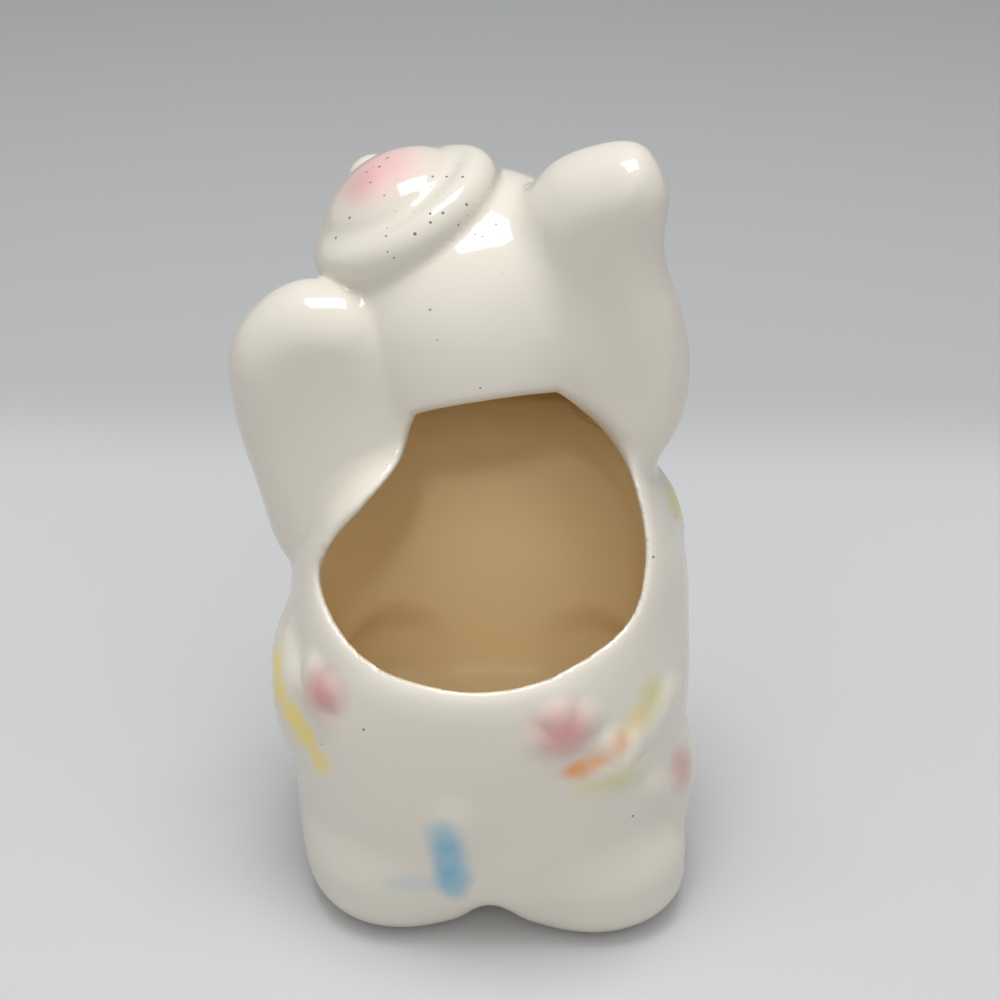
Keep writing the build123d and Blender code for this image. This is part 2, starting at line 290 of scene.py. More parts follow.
trunk_stations = [
    (sway * TRUNK_SWAY, -reach * TRUNK_REACH, lift * TRUNK_LIFT)
    for sway, reach, lift in zip(TRUNK_SWAY_SHARES, TRUNK_REACH_SHARES, TRUNK_LIFT_SHARES)
]
trunk_line = np.array([on_head(place) for place in smooth_line(trunk_stations, TRUNK_BALLS)])
trunk_radii = smooth_line([[radius] for radius in TRUNK_RADII], TRUNK_BALLS)[:, 0]
TRUNK_MIDDLE = trunk_line.mean(axis=0)
TRUNK_SPAN = 42.0


def trunk_field(offset):
    p = offset + TRUNK_MIDDLE
    value = np.full(len(p), FAR_OFF)
    for start, end, r0, r1 in zip(trunk_line[:-1], trunk_line[1:], trunk_radii[:-1], trunk_radii[1:]):
        run = end - start
        along = np.clip((p - start) @ run / (run @ run), 0, 1)
        gap = np.linalg.norm(p - start - along[:, None] * run, axis=1)
        value = np.minimum(value, gap - (r0 + along * (r1 - r0)))
    return value


def lip_field(offset):
    return ellipsoid(offset @ HEAD_AXES, LIP_RADII)


print("head radius, mm:", round(HEAD_RADIUS, 1))

# %% [markdown]
# ## Ears and the planting mouth
# Ears and mouth are drawn as closed outlines, seen from behind. The distance to an outline is measured
# once on a fine sheet and then looked up, and a rounded slab of that outline makes the pillow of an ear.

# %% Outlines
OUTLINE_STEP = 0.5
OUTLINE_MARGIN = 24.0
SPAN_POINTS = 12
LAST_CELL = 1.001


def closed_line(points):
    """Closed smooth line through a ring of points."""
    points = np.array(points, float)
    ring = np.vstack([points[-1], points, points[:2]])
    line = []
    for index in range(len(points)):
        for t in np.arange(SPAN_POINTS) / SPAN_POINTS:
            line.append(catmull_rom(*ring[index:index + 4], t))
    return np.array(line)


def outline_field(points):
    """Function giving the signed distance to a closed outline on a plane."""
    line = closed_line(points)
    low = line.min(axis=0) - OUTLINE_MARGIN
    size = ((line.max(axis=0) + OUTLINE_MARGIN - low) / OUTLINE_STEP).astype(int) + 2
    rulers = [low[k] + OUTLINE_STEP * np.arange(size[k]) for k in range(2)]
    grid = np.stack(np.meshgrid(*rulers, indexing="ij"), axis=-1)
    best = np.full(grid.shape[:2], FAR_OFF)
    inside = np.zeros(grid.shape[:2], bool)
    for start, end in zip(line, np.roll(line, -1, axis=0)):
        run = end - start
        along = np.clip(((grid - start) @ run) / (run @ run), 0, 1)
        best = np.minimum(best, np.linalg.norm(grid - start - along[..., None] * run, axis=-1))
        crosses = (grid[..., 1] < start[1]) != (grid[..., 1] < end[1])
        if crosses.any():
            at = start[0] + (grid[..., 1] - start[1]) / run[1] * run[0]
            inside ^= crosses & (grid[..., 0] < at)
    sheet = np.where(inside, -best, best)

    def distance(x, y):
        place = np.stack([(x - low[0]) / OUTLINE_STEP, (y - low[1]) / OUTLINE_STEP], axis=-1)
        held = np.clip(place, 0, size - LAST_CELL)
        beyond = np.linalg.norm(place - held, axis=-1) * OUTLINE_STEP
        cell = held.astype(int)
        u, v = (held - cell).T
        i, j = cell.T
        level = (sheet[i, j] * (1 - u) + sheet[i + 1, j] * u) * (1 - v)
        level = level + (sheet[i, j + 1] * (1 - u) + sheet[i + 1, j + 1] * u) * v
        return level + beyond

    return distance


print("an outline's sheet has steps of, mm:", OUTLINE_STEP)

# %% Ear and mouth outlines
LEFT_EAR_BREADTH, LEFT_EAR_LENGTH = 44.0, 63.0
LEFT_EAR_SHARES = [
    (0.59, 0.99), (0.83, 0.92), (0.99, 0.76), (0.98, 0.52), (0.91, 0.27), (0.80, 0.01),
    (0.65, 0.00), (0.32, 0.27), (0.11, 0.46), (0.10, 0.66), (0.30, 0.94),
]
RIGHT_EAR_BREADTH, RIGHT_EAR_LENGTH = 36.5, 69.0
RIGHT_EAR_SHARES = [
    (0.44, 0.99), (0.68, 1.00), (0.82, 0.89), (0.82, 0.72), (0.93, 0.51), (0.99, 0.31),
    (0.92, 0.12), (0.68, 0.00), (0.25, 0.20), (0.00, 0.43), (0.00, 0.75), (0.16, 0.91),
]
EAR_ROOTS = {"left_ear": (10.0, 71.0), "right_ear": (-5.0, 92.5)}
MOUTH_HALF_WIDTH, MOUTH_HALF_HEIGHT = 33.0, 29.5
MOUTH_SHARES = [
    (0.00, -0.86), (0.44, -0.74), (0.83, -0.46), (0.95, -0.03), (0.90, 0.42),
    (0.73, 0.75), (0.47, 0.98), (0.32, 1.00), (-0.36, 0.87), (-0.47, 0.79),
    (-0.555, 0.50), (-0.74, 0.22), (-0.93, -0.05), (-0.99, -0.32), (-0.80, -0.61), (-0.42, -0.79),
]


def ear_outline(name, side, shares, breadth, length):
    root, foot = EAR_ROOTS[name]
    return outline_field([(root + side * out * breadth, foot + up * length) for out, up in shares])


ear_outlines = {
    "left_ear": ear_outline("left_ear", 1, LEFT_EAR_SHARES, LEFT_EAR_BREADTH, LEFT_EAR_LENGTH),
    "right_ear": ear_outline("right_ear", -1, RIGHT_EAR_SHARES, RIGHT_EAR_BREADTH, RIGHT_EAR_LENGTH),
}
mouth_outline = outline_field([(-x * MOUTH_HALF_WIDTH, y * MOUTH_HALF_HEIGHT) for x, y in MOUTH_SHARES])
print("outlines drawn:", [*ear_outlines, "mouth"])

# %% Ear and mouth fields
EAR_ROUND = 10.5
EAR_LEANS = {"left_ear": 0.0, "right_ear": 5.0}
EAR_LEAN_SPAN = 26.0
MOUTH_CENTRE = np.array([0.0, 22.0, 88.0])
MOUTH_TILT = 29.4
MOUTH_DEPTH = 30.0


def ear_field(p, name):
    low, high = node_box(name)
    middle, half = (low[1] + high[1]) / 2, (high[1] - low[1]) / 2
    inwards = np.clip(1 - (np.abs(p[:, 0]) - EAR_ROUND) / EAR_LEAN_SPAN, 0, 1)
    side = ear_outlines[name](p[:, 0], p[:, 2]) + EAR_ROUND
    face = np.abs(p[:, 1] - middle + EAR_LEANS[name] * inwards) - half + EAR_ROUND
    return edge_distance(side, face) - EAR_ROUND


def mouth_place(p):
    """Height and outward place of points in the mouth's tilted plane."""
    c, s = math.cos(math.radians(MOUTH_TILT)), math.sin(math.radians(MOUTH_TILT))
    back, up = p[:, 1] - MOUTH_CENTRE[1], p[:, 2] - MOUTH_CENTRE[2]
    return up * c - back * s, back * c + up * s


def mouth_field(p):
    height, outward = mouth_place(p)
    return np.maximum(mouth_outline(p[:, 0], height), -MOUTH_DEPTH - outward)


print("mouth's lean from upright, degrees:", MOUTH_TILT)

# %% [markdown]
# ## Hat
# A rolled brim and a low dome, seated on the round of the head where the brim's ring fits it.

# %% Hat fields
HAT_SIDE_TILT, HAT_BACK_TILT = 10.7, 2.3
BRIM_RING, BRIM_ROLL = 16.5, 4.8
CROWN_RADII = np.array([17.2, 17.2, 12.4])
CROWN_SHIFT = np.array([1.6, -2.4, 0.0])
HAT_REACH = 23.0
HAT_AXES = HEAD_AXES @ turn_y(HAT_SIDE_TILT) @ turn_x(-HAT_BACK_TILT)
HAT_CENTRE = HEAD_CENTRE + HAT_AXES[:, 2] * math.sqrt(HEAD_RADIUS ** 2 - BRIM_RING ** 2)


def brim_field(offset):
    q = offset @ HAT_AXES
    return np.hypot(np.hypot(q[:, 0], q[:, 1]) - BRIM_RING, q[:, 2]) - BRIM_ROLL


def crown_field(offset):
    return ellipsoid(offset @ HAT_AXES - CROWN_SHIFT, CROWN_RADII)


print("hat seat, mm from the pot's axis:", HAT_CENTRE.round(1).tolist())

# %% [markdown]
# ## Tail and sprigged flowers
# Sprigs are small pressed reliefs. Each has a seat on the pot: a point at a bearing from the rear and a
# height, with the direction straight out of the clay. Petals, centres, leaves and the tail are low
# ellipsoids in such a seat. Geometry Nodes could set out the petals too, but each would then end in a
# hard line on the wall; as fields they sink into the glaze. A low mound swells under each flank's leaves.

# %% Seats on the pot
SPRIG_LOW = 33.0
TAIL_BEARING, TAIL_HEIGHT = -7.5, 26.5


def sprig_height(share):
    """Height of a sprig, shared out from the hind legs' top to the pot's."""
    return SPRIG_LOW + share * (POT_TOP - SPRIG_LOW)


def pot_seat(bearing, height):
    """Point on the pot's outside and its axes: level, up the wall, and straight out."""
    rise = height - POT_WAIST
    reach, power = pot_reach(rise)
    climb = abs(rise) / reach
    girth = (1 - climb ** power) ** (1 / power)
    plan = plan_power(height)
    ring = np.array([-math.sin(math.radians(bearing)), math.cos(math.radians(bearing))])
    ring = ring / (np.abs(ring) ** plan).sum() ** (1 / plan)
    across, back = ring
    faced = np.sign(ring) * np.abs(ring) ** (plan - 1) * girth ** (power - 1)
    lean = math.copysign(climb ** (power - 1) / reach, rise)
    normal = np.array([faced[0] / POT_HALF_WIDTH, faced[1] / POT_HALF_DEPTH, lean])
    normal = normal / np.linalg.norm(normal)
    level = np.cross([0, 0, 1], normal)
    level = level / -np.linalg.norm(level)
    point = np.array([across * girth * POT_HALF_WIDTH, back * girth * POT_HALF_DEPTH, height])
    return point, np.stack([level, np.cross(normal, level), normal], axis=1)


print("tail seat, mm:", pot_seat(TAIL_BEARING, TAIL_HEIGHT)[0].round(1).tolist())

# %% Sprig fields
BLOSSOMS = {
    "right_rear_blossom": (22.0, 0.31),
    "right_middle_blossom": (36.0, 0.17),
    "right_front_blossom": (75.0, -0.10),
    "left_rear_blossom": (-50.0, 0.30),
    "left_middle_blossom": (-76.0, 0.30),
    "left_front_blossom": (-100.0, 0.18),
}
LEAVES = {
    "right_leaves": [(54.0, 0.25, 40.0), (50.0, 0.0, -35.0), (93.0, 0.695, 80.0)],
    "left_leaves": [(-60.0, 0.09, 55.0), (-86.0, 0.13, 70.0), (-112.0, 0.375, 35.0)],
}
PETALS = 5
PETAL_RING = 3.7
PETAL_RADII = np.array([3.6, 3.0, 2.6])
PETAL_JOIN = 0.6
CENTRE_RADII = np.array([2.3, 2.3, 3.2])
LEAF_RADII = np.array([5.5, 2.6, 2.0])
TAIL_RADII = np.array([2.8, 8.5, 2.0])
TUFT_RADII = np.array([3.6, 4.6, 2.3])
TUFT_DROP = 5.5
TAIL_JOIN = 4.0


def turned(q, degrees):
    c, s = math.cos(math.radians(degrees)), math.sin(math.radians(degrees))
    return np.stack([q[:, 0] * c + q[:, 1] * s, q[:, 1] * c - q[:, 0] * s, q[:, 2]], axis=1)


def petals_field(q):
    value = np.full(len(q), FAR_OFF)
    for index in range(PETALS):
        petal = turned(q, 360 / PETALS * index) - np.array([PETAL_RING, 0, 0])
        value = soft_join(value, ellipsoid(petal, PETAL_RADII), PETAL_JOIN)
    return value


def tail_field(q):
    tuft = ellipsoid(q + np.array([0, TUFT_DROP, 0]), TUFT_RADII)
    return soft_join(ellipsoid(q, TAIL_RADII), tuft, TAIL_JOIN)


print("blossoms and leaves:", len(BLOSSOMS), sum(len(places) for places in LEAVES.values()))

# %% [markdown]
# ## One joined field
# Pot, legs and head form the core, which is hollow. The other members are solid and sit on it. The
# mouth is cut with a broad rounded lip below and a thin trimmed edge under the head, then the inside is
# hollowed out and the soles are ground flat.

# %% Hollow core
LEG_FILLET, HEAD_FILLET = 4.0, 7.0
pot_middle = np.array([[0.0, 0.0, POT_WAIST]])


def core_fields(p):
    fields = {"pot_body": belly_field(p)}
    for leg in LEG_PLACES:
        fields[leg] = leg_field(p, leg)
    fields["head"] = head_field(p)
    return fields


def core_join(fields):
    core = fields["pot_body"]
    for leg in LEG_PLACES:
        core = soft_join(core, fields[leg], LEG_FILLET)
    return soft_join(core, fields["head"], HEAD_FILLET)


print("core field at the middle of the pot, mm:", core_join(core_fields(pot_middle)).round(1).tolist())

# %% Luted members
SPRIG_REACH = 9.5
SPRIG_SINK = np.array([0.0, 0.0, 1.6])
SPRIG_FILLET = 4.2
TAIL_REACH = 14.0
MOUNDS = {
    "left_leaves": (np.array([40.0, 17.0, 46.0]), np.array([6.5, 12.0, 15.0])),
    "right_leaves": (np.array([-40.0, 19.0, 27.0]), np.array([5.5, 11.0, 12.0])),
}
MOUND_REACH = 16.0


def seated(p, bearing, height, reach, field):
    """A sprig's field in its own seat: level, up the wall and straight out."""
    point, axes = pot_seat(bearing, height)
    return within(p, point, reach, lambda offset: field(offset @ axes + SPRIG_SINK))


def centre_field(q):
    return ellipsoid(q, CENTRE_RADII)


def leaves_field(p, name):
    cluster = np.full(len(p), FAR_OFF)
    for bearing, share, turn in LEAVES[name]:
        leaf = seated(
            p, bearing, sprig_height(share), SPRIG_REACH, lambda q: ellipsoid(turned(q, turn), LEAF_RADII)
        )
        cluster = np.minimum(cluster, leaf)
    centre, radii = MOUNDS[name]
    mound = within(p, centre, MOUND_REACH, lambda offset: ellipsoid(offset, radii))
    return soft_join(cluster, mound, SPRIG_FILLET)


def member_fields(p):
    """Name and field of every member that is luted onto the core."""
    yield "left_ear", ear_field(p, "left_ear")
    yield "right_ear", ear_field(p, "right_ear")
    yield "trunk", within(p, TRUNK_MIDDLE, TRUNK_SPAN, trunk_field)
    yield "lower_lip", within(p, on_head(LIP_PLACE), LIP_REACH, lip_field)
    yield "hat_brim", within(p, HAT_CENTRE, HAT_REACH, brim_field)
    yield "hat_crown", within(p, HAT_CENTRE, HAT_REACH, crown_field)
    yield "tail", seated(p, TAIL_BEARING, TAIL_HEIGHT, TAIL_REACH, tail_field)
    for name, (bearing, share) in BLOSSOMS.items():
        yield name, seated(p, bearing, sprig_height(share), SPRIG_REACH, petals_field)
        yield name + "_centre", seated(p, bearing, sprig_height(share), SPRIG_REACH, centre_field)
    for name in LEAVES:
        yield name, leaves_field(p, name)


print("members on the core:", len(list(member_fields(pot_middle))))

# %% Lip, hollow and soles
LUTE_FILLETS = {
    "left_ear": 2.5, "right_ear": 5.0, "trunk": 4.0, "lower_lip": 2.5, "hat_brim": 1.8, "hat_crown": 3.0,
}
LIP_BROAD, LIP_THIN = 13.0, 2.0
LIP_LOW_SHARE, LIP_SPAN_SHARE = 0.95, 1.3
INNER_EDGE = 3.4
WOBBLE = 0.25
WOBBLE_SPAN = 8.0
WOBBLE_SLANTS = (1.1, 0.6, 0.7)
OWNER_SKIN = 0.5


def hand_wobble(p):
    """Slight unevenness of a cast that was trimmed and sponged by hand."""
    q = p / WOBBLE_SPAN
    first, second, third = WOBBLE_SLANTS
    ripple = np.sin(q[:, 0] + first * q[:, 2]) * np.sin(q[:, 1] - second * q[:, 2])
    return WOBBLE * (ripple + np.sin(third * q[:, 2] + q[:, 0]))


def joined_field(p, owners=False):
    """The whole planter's field, or with owners each point's member and its depth under the outside."""
    fields = core_fields(p)
    core = core_join(fields)
    solid = core
    for name, field in member_fields(p):
        solid = soft_join(solid, field, LUTE_FILLETS.get(name, SPRIG_FILLET))
        if owners:
            fields[name] = np.maximum(field, -core - OWNER_SKIN)
    if owners:
        names = list(fields)
        return names, np.argmin(np.stack([fields[name] for name in names]), axis=0), solid
    height = mouth_place(p)[0]
    share = np.clip((height / MOUTH_HALF_HEIGHT + LIP_LOW_SHARE) / LIP_SPAN_SHARE, 0, 1)
    lip = LIP_BROAD + (LIP_THIN - LIP_BROAD) * share
    skin = soft_cut(solid + hand_wobble(p), mouth_field(p), lip)
    skin = soft_cut(skin, core + WALL, INNER_EDGE)
    return np.maximum(skin, -p[:, 2])


print("field at the middle of the pot, mm:", joined_field(pot_middle).round(1).tolist())

# %% [markdown]
# ## Laying the skin
# The field is sampled on a grid. Every grid cell that the surface passes through gets one point, the
# mean of the crossings on its edges, and every crossed edge gets a quad between its four cells. The
# points are then moved onto the exact surface, and the field's own slope gives their normals, so the
# gloss runs on without facets.

# %% Sampling grid
VOXEL = 1.14
SKIN_MARGIN = 3.0


def sample_grid():
    low = (np.array(cad_low) - AXIS) / MM - SKIN_MARGIN
    high = (np.array(cad_high) - AXIS) / MM + SKIN_MARGIN
    counts = np.ceil((high - low) / VOXEL).astype(int) + 1
    axes = [low[k] + VOXEL * np.arange(counts[k]) for k in range(3)]
    level = np.empty(counts, np.float32)
    for index, x in enumerate(axes[0]):
        y, z = np.meshgrid(axes[1], axes[2], indexing="ij")
        points = np.stack([np.full(y.size, x), y.ravel(), z.ravel()], axis=1)
        level[index] = joined_field(points).reshape(y.shape)
    return low, level


grid_low, grid_level = sample_grid()
print("grid:", grid_level.shape)


# %% Points of the net
def net_points(low, level):
    """One point in each cell that the surface passes through, and the mask of those cells."""
    inside = level < 0
    corners = [(i, j, k) for i in (0, 1) for j in (0, 1) for k in (0, 1)]
    cells = [n - 1 for n in level.shape]

    def corner(array, c):
        return array[c[0]:c[0] + cells[0], c[1]:c[1] + cells[1], c[2]:c[2] + cells[2]]

    count = sum(corner(inside, c).astype(np.int8) for c in corners)
    active = (count > 0) & (count < len(corners))
    total = np.zeros((active.sum(), 3))
    crossings = np.zeros(active.sum())
    for start in corners:
        for axis in range(3):
            if start[axis]:
                continue
            end = tuple(1 if k == axis else start[k] for k in range(3))
            a, b = corner(level, start)[active], corner(level, end)[active]
            crossed = (a < 0) != (b < 0)
            share = np.where(crossed, a / np.where(crossed, a - b, 1), 0)
            place = np.array(start, float) + np.outer(share, np.eye(3)[axis])
            total += place * crossed[:, None]
            crossings += crossed
    return low + VOXEL * (np.argwhere(active) + total / crossings[:, None]), active


net, active_cells = net_points(grid_low, grid_level)
print("points of the net:", len(net))


# %% Quads of the net
def net_quads(level, active):
    """A quad round every grid edge that the surface crosses, turned to face outwards."""
    inside = level < 0
    number = np.full(active.shape, -1)
    number[active] = np.arange(active.sum())
    quads = []
    for axis in range(3):
        u, v = (axis + 1) % 3, (axis + 2) % 3
        first = np.moveaxis(inside, (axis, u, v), (0, 1, 2))
        cell = np.moveaxis(number, (axis, u, v), (0, 1, 2))
        flips = first[:-1, 1:-1, 1:-1] != first[1:, 1:-1, 1:-1]
        i, j, k = np.nonzero(flips)
        ring = np.stack([cell[i, j, k], cell[i, j + 1, k], cell[i, j + 1, k + 1], cell[i, j, k + 1]], axis=1)
        leaving = first[i, j + 1, k + 1]
        quads.append(np.where(leaving[:, None], ring, ring[:, ::-1]))
    return np.concatenate(quads)


skin_quads = net_quads(grid_level, active_cells)
print("quads of the net:", len(skin_quads))

# %% Points onto the surface
SLOPE_STEP = 0.05
LEAST_STEEPNESS = 0.1
MOVE_LIMIT_SHARE = 0.4
MOVE_ROUNDS = 2


def field_slope(points):
    slope = np.empty_like(points)
    for axis in range(3):
        nudge = np.eye(3)[axis] * SLOPE_STEP
        slope[:, axis] = (joined_field(points + nudge) - joined_field(points - nudge)) / (2 * SLOPE_STEP)
    return slope


def onto_surface(points):
    """Move points along the slope to where the field is zero, by at most part of a cell."""
    for _ in range(MOVE_ROUNDS):
        slope = field_slope(points)
        steep = np.maximum((slope ** 2).sum(axis=1), LEAST_STEEPNESS)
        move = -(joined_field(points) / steep)[:, None] * slope
        reach = np.linalg.norm(move, axis=1, keepdims=True)
        points = points + move * np.minimum(1, MOVE_LIMIT_SHARE * VOXEL / np.maximum(reach, TINY))
    return points


skin_points = onto_surface(net)
slope = field_slope(skin_points)
skin_normals = slope / np.maximum(np.linalg.norm(slope, axis=1, keepdims=True), TINY)
member_names, skin_owner, skin_depth = joined_field(skin_points, owners=True)
print("furthest move onto the surface, mm:", np.abs(skin_points - net).max().round(2))

# %% [markdown]
# ## Parting the skin into members
# Each quad belongs to the member that lies deepest there. A member's patch of skin gets a second layer
# just under it and a rim between the two, so that every piece is a closed shell. Neighbours share their
# border points and normals, which keeps the glaze unbroken across a seam.

# %% Pieces from patches
SHELL = 0.6
pieces = {}


def closed_patch(quads):
    """Outer layer, inner layer and rim of a patch, as points, normals, faces and the source of each point."""
    used, faces = np.unique(quads, return_inverse=True)
    faces = faces.reshape(-1, 4)
    count = len(used)
    points = np.concatenate([skin_points[used], skin_points[used] - SHELL * skin_normals[used]])
    normals = np.concatenate([skin_normals[used], -skin_normals[used]])
    edges = np.concatenate([np.stack([faces[:, k], faces[:, (k + 1) % 4]], axis=1) for k in range(4)])
    seen = {tuple(edge) for edge in edges.tolist()}
    border = np.array([edge for edge in edges.tolist() if (edge[1], edge[0]) not in seen]).reshape(-1, 2)
    rim = np.stack([border[:, 1], border[:, 0], border[:, 0] + count, border[:, 1] + count], axis=1)
    return points, normals, np.concatenate([faces, faces[:, ::-1] + count, rim]), np.tile(used, 2)


def lay_piece(name, quads):
    points, normals, faces, source = closed_patch(quads)
    mesh = bpy.data.meshes.new("glazed_" + name)
    mesh.from_pydata(to_frame(points).tolist(), [], faces.tolist())
    mesh.polygons.foreach_set("use_smooth", np.ones(len(faces), bool))
    depth = mesh.attributes.new("clay_depth", "FLOAT", "POINT")
    depth.data.foreach_set("value", skin_depth[source].astype(np.float32))
    mesh.validate()
    mesh.normals_split_custom_set_from_vertices(normals.tolist())
    piece = bpy.data.objects.new("glazed_" + name, mesh)
    bpy.context.scene.collection.objects.link(piece)
    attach(piece, "root")
    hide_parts(name)
    pieces[name] = piece


votes = np.sort(skin_owner[skin_quads], axis=1)
quad_owner = np.where(votes[:, 1] == votes[:, 2], votes[:, 1], votes[:, 0])
for index, member in enumerate(member_names):
    lay_piece(member, skin_quads[quad_owner == index])
print("pieces and their faces:", {name: len(piece.data.polygons) for name, piece in pieces.items()})

# %% [markdown]
# ## Paint and glaze
# The colours are airbrushed and dabbed under a clear glaze. A dab is a soft ball in space: wherever the
# clay passes through it, it takes on the paint. So one table of dabs, in millimetres from the pot's
# axis, paints every piece, and the overspray carries on from a petal to the wall beside it.

# %% Paints and dabs
PAINTS = {
    "white": (222, 216, 203), "pink": (196, 116, 118), "rose": (232, 166, 166), "yellow": (240, 214, 96),
    "amber": (236, 150, 62), "leaf": (206, 204, 120), "blue": (74, 168, 204), "brown": (74, 50, 38),
    "black": (24, 20, 20), "tan": (244, 222, 178), "shade_tan": (186, 150, 94), "bisque": (214, 196, 172),
    "iron": (118, 116, 112),
}
DABS = [
    ((24.0, -16.0, 153.0), (16.0, 16.0, 9.5), "rose", 0.72, 0.95),
    ((28.0, -13.0, 149.5), (8.0, 10.0, 6.0), "pink", 0.35, 0.9),
    ((-16.0, 44.4, 57.0), (10.5, 9.0, 9.5), "pink", 0.84, 0.95),
    ((-18.9, 44.2, 47.6), (5.5, 5.0, 4.2), "amber", 0.85, 0.9),
    ((-22.5, 42.5, 49.3), (5.5, 5.0, 4.2), "amber", 0.75, 0.9),
    ((-27.0, 39.6, 50.8), (5.5, 5.5, 4.4), "amber", 0.62, 0.9),
    ((-31.3, 35.4, 53.5), (6.5, 6.0, 5.5), "yellow", 0.45, 0.95),
    ((-34.4, 31.5, 56.6), (6.5, 6.5, 6.5), "leaf", 0.60, 0.95),
    ((-27.5, 40.4, 43.0), (8.5, 8.0, 6.5), "leaf", 0.55, 0.95),
    ((-21.2, 43.6, 42.6), (6.0, 6.0, 4.5), "yellow", 0.30, 0.95),
    ((-40.5, 26.0, 33.5), (7.0, 8.0, 7.5), "pink", 0.70, 0.9),
    ((-43.0, 19.0, 23.5), (7.0, 9.0, 8.5), "pink", 0.75, 0.9),
    ((-39.0, -0.8, 84.3), (6.0, 8.0, 5.5), "leaf", 0.60, 0.85),
    ((32.4, 33.5, 57.0), (8.5, 8.0, 8.5), "pink", 0.84, 0.95),
    ((45.0, 21.0, 55.5), (5.5, 6.0, 5.0), "yellow", 0.85, 0.8),
    ((43.6, 25.0, 51.5), (5.5, 6.0, 5.0), "yellow", 0.80, 0.8),
    ((40.0, 28.5, 47.5), (5.5, 6.0, 5.0), "yellow", 0.80, 0.8),
    ((37.3, 31.3, 44.0), (5.5, 5.5, 5.0), "yellow", 0.75, 0.8),
    ((34.6, 34.6, 40.3), (5.5, 5.5, 4.8), "yellow", 0.75, 0.8),
    ((43.5, 13.0, 28.0), (6.0, 8.0, 7.0), "leaf", 0.50, 0.9),
    ((43.5, -8.0, 46.0), (7.0, 8.0, 8.0), "pink", 0.60, 0.9),
    ((41.0, -18.0, 59.0), (6.0, 7.0, 6.0), "leaf", 0.55, 0.9),
    ((7.5, 46.8, 31.0), (5.6, 8.0, 7.0), "blue", 0.50, 0.7),
    ((7.1, 46.8, 25.0), (5.4, 8.0, 9.5), "blue", 0.62, 0.7),
    ((6.2, 46.8, 18.5), (5.6, 8.0, 7.5), "blue", 0.58, 0.7),
    ((14.5, 46.0, 17.0), (11.0, 6.0, 4.0), "blue", 0.20, 0.95),
]
FACE_DABS = [
    ((-13.0, -27.6, 8.0), (2.3, 4.0, 3.3), "black", 1.0, 0.15),
    ((13.0, -27.6, 8.0), (2.3, 4.0, 3.3), "black", 1.0, 0.15),
    ((-12.2, -28.4, 9.5), (0.9, 2.5, 0.9), "white", 1.0, 0.3),
    ((13.8, -28.4, 9.5), (0.9, 2.5, 0.9), "white", 1.0, 0.3),
    ((-13.5, -24.5, 15.5), (4.0, 5.0, 0.9), "brown", 0.8, 0.5),
    ((13.5, -24.5, 15.5), (4.0, 5.0, 0.9), "brown", 0.8, 0.5),
    ((-20.0, -23.0, -5.0), (7.0, 8.0, 6.0), "rose", 0.75, 0.95),
    ((20.0, -23.0, -5.0), (7.0, 8.0, 6.0), "rose", 0.75, 0.95),
    ((0.0, -29.0, -22.5), (8.0, 6.0, 4.0), "rose", 0.60, 0.8),
]
EAR_DABS = [
    ((33.0, -13.0, 106.0), (13.0, 9.0, 22.0), "rose", 0.55, 0.95),
    ((-25.0, -15.0, 128.0), (11.0, 9.0, 23.0), "rose", 0.55, 0.95),
]


def paint(name):
    """Paint colour for a shader socket, from its usual 0 to 255 values."""
    shares = [value / 255 for value in PAINTS[name]]
    return [s / 12.92 if s <= 0.04045 else ((s + 0.055) / 1.055) ** 2.4 for s in shares] + [1.0]


face_dabs = [(tuple(on_head(place)), *rest) for place, *rest in FACE_DABS]
all_dabs = DABS + EAR_DABS + face_dabs
print("dabs of paint:", len(all_dabs))

# %% Node helpers
def wire(tree, kind, inputs, **settings):
    """A new node with its settings, and its inputs set to values or linked to sockets."""
    node = tree.nodes.new(kind)
    for name, value in settings.items():
        setattr(node, name, value)
    for key, value in inputs.items():
        if isinstance(value, bpy.types.NodeSocket):
            tree.links.new(value, node.inputs[key])
        else:
            node.inputs[key].default_value = value
    return node


def new_group(name, inputs, outputs):
    tree = bpy.data.node_groups.new(name, "ShaderNodeTree")
    for label, kind in inputs:
        tree.interface.new_socket(label, in_out="INPUT", socket_type="NodeSocket" + kind)
    for label, kind in outputs:
        tree.interface.new_socket(label, in_out="OUTPUT", socket_type="NodeSocket" + kind)
    return tree, tree.nodes.new("NodeGroupInput").outputs, tree.nodes.new("NodeGroupOutput").inputs


def use_group(tree, group, **inputs):
    node = wire(tree, "ShaderNodeGroup", {}, node_tree=group)
    for key, value in inputs.items():
        socket = node.inputs[key.replace("_", " ").title()]
        if isinstance(value, bpy.types.NodeSocket):
            tree.links.new(value, socket)
        else:
            socket.default_value = value
    return node.outputs[0]


def mixed(tree, factor, base, top):
    node = wire(tree, "ShaderNodeMix", {0: factor, 6: base, 7: top}, data_type="RGBA")
    return node.outputs[2]


print("helpers for Blender", bpy.app.version_string)


# %% Place and dab groups
def measured_place():
    """Place on the planter in millimetres from the pot's axis."""
    tree, _, leave = new_group("measured_place", [], [("Place", "Vector")])
    spot = wire(tree, "ShaderNodeTexCoord", {}).outputs["Object"]
    offset = wire(tree, "ShaderNodeVectorMath", {0: spot, 1: AXIS.tolist()}, operation="SUBTRACT").outputs[0]
    scaled = wire(tree, "ShaderNodeVectorMath", {0: offset, "Scale": 1 / MM}, operation="SCALE").outputs[0]
    tree.links.new(scaled, leave["Place"])
    return tree


